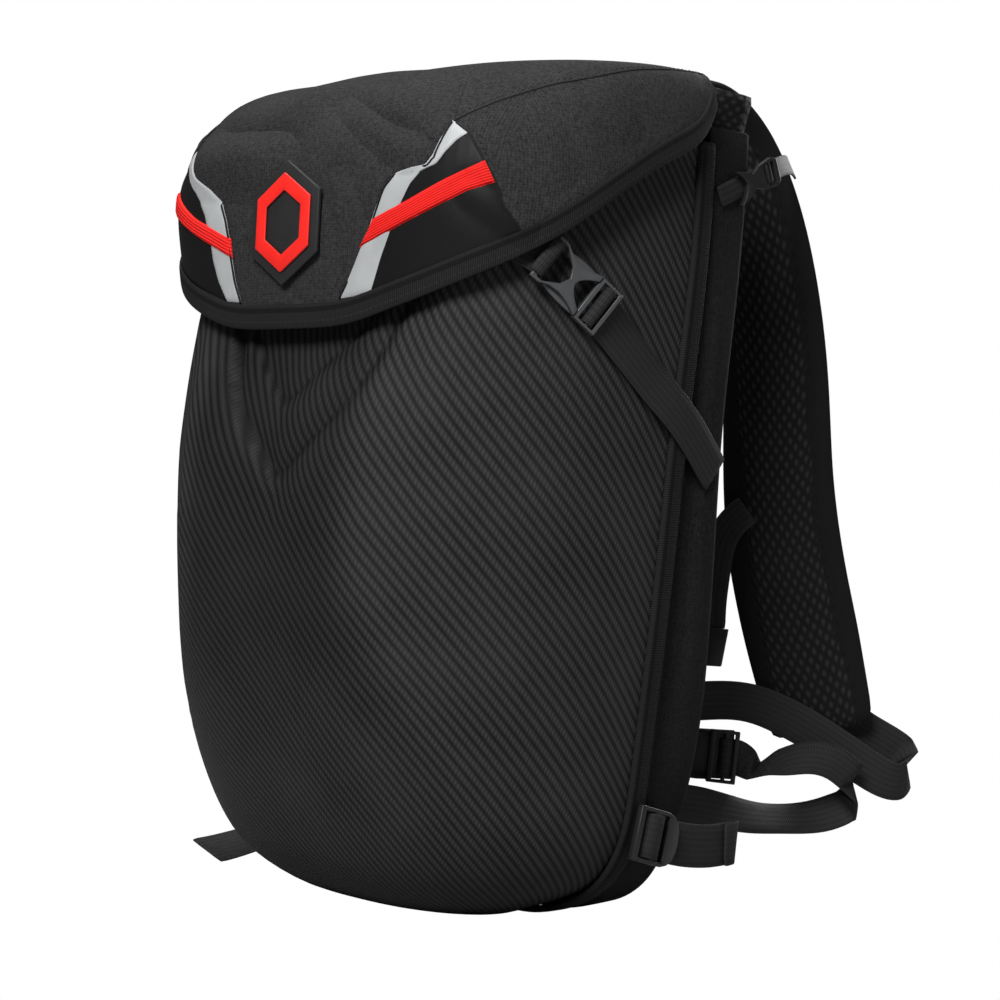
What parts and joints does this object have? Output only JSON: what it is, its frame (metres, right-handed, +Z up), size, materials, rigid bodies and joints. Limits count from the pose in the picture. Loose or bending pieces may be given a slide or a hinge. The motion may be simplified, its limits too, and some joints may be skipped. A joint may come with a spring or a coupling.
{
  "type": "motorcycle backpack",
  "caption": "Riding backpack with a moulded carbon-look front shell, buckled lid with reflective and red bands, padded shoulder straps and a waist belt.",
  "frame": {"origin": "on the flat base that the bag stands on, under the middle of its width", "axes": "+Z up, -Y the way the moulded shell faces, +Y towards the wearer, +X to the right when looking at the shell"},
  "size_m": [0.3603, 0.4415, 0.5042],
  "materials": {
    "carbon_cloth": "moulded carbon-look laminate, embossed twill",
    "body_cloth": "plain woven polyester, matt",
    "edge_tape": "ribbed binding tape",
    "air_mesh": "diamond air mesh over foam",
    "coated_cloth": "smooth coated cloth",
    "reflective_film": "silver reflective cloth",
    "red_elastic": "ribbed elastic",
    "webbing": "woven strap, satin",
    "buckle_plastic": "moulded acetal, satin",
    "badge_rubber": "matt moulded rubber",
    "red_rubber": "matt moulded rubber"
  },
  "bodies": {
    "root": {"back_panel": "air_mesh", "badge_base": "badge_rubber", "badge_ring": "red_rubber", "base_slider_left": "buckle_plastic", "base_slider_right": "buckle_plastic", "belt_buckle_left": "buckle_plastic", "belt_buckle_right": "buckle_plastic", "buckle_prongs_left": "buckle_plastic", "buckle_prongs_right": "buckle_plastic", "buckle_socket_left": "buckle_plastic", "buckle_socket_right": "buckle_plastic", "compression_strap_left": "webbing", "compression_strap_right": "webbing", "elastic_band_left": "red_elastic", "elastic_band_right": "red_elastic", "front_shell": "carbon_cloth", "lid_cap": "body_cloth", "lid_hem": "edge_tape", "lid_insert_left": "coated_cloth", "lid_insert_right": "coated_cloth", "lid_strap_left": "webbing", "lid_strap_right": "webbing", "lifter_buckle_left": "buckle_plastic", "lifter_buckle_right": "buckle_plastic", "lifter_strap_left": "webbing", "lifter_strap_right": "webbing", "lifter_webbing_left": "webbing", "lifter_webbing_right": "webbing", "lower_webbing_left": "webbing", "lower_webbing_right": "webbing", "reflective_band_left": "reflective_film", "reflective_band_right": "reflective_film", "shell_binding": "edge_tape", "shoulder_pad_left": "air_mesh", "shoulder_pad_right": "air_mesh", "side_wall": "body_cloth", "sternum_clip_left": "buckle_plastic", "sternum_clip_right": "buckle_plastic", "sternum_strap_left": "webbing", "sternum_strap_right": "webbing", "waist_belt_left": "webbing", "waist_belt_right": "webbing", "webbing_tail_left": "webbing", "webbing_tail_right": "webbing"}
  },
  "joints": []
}
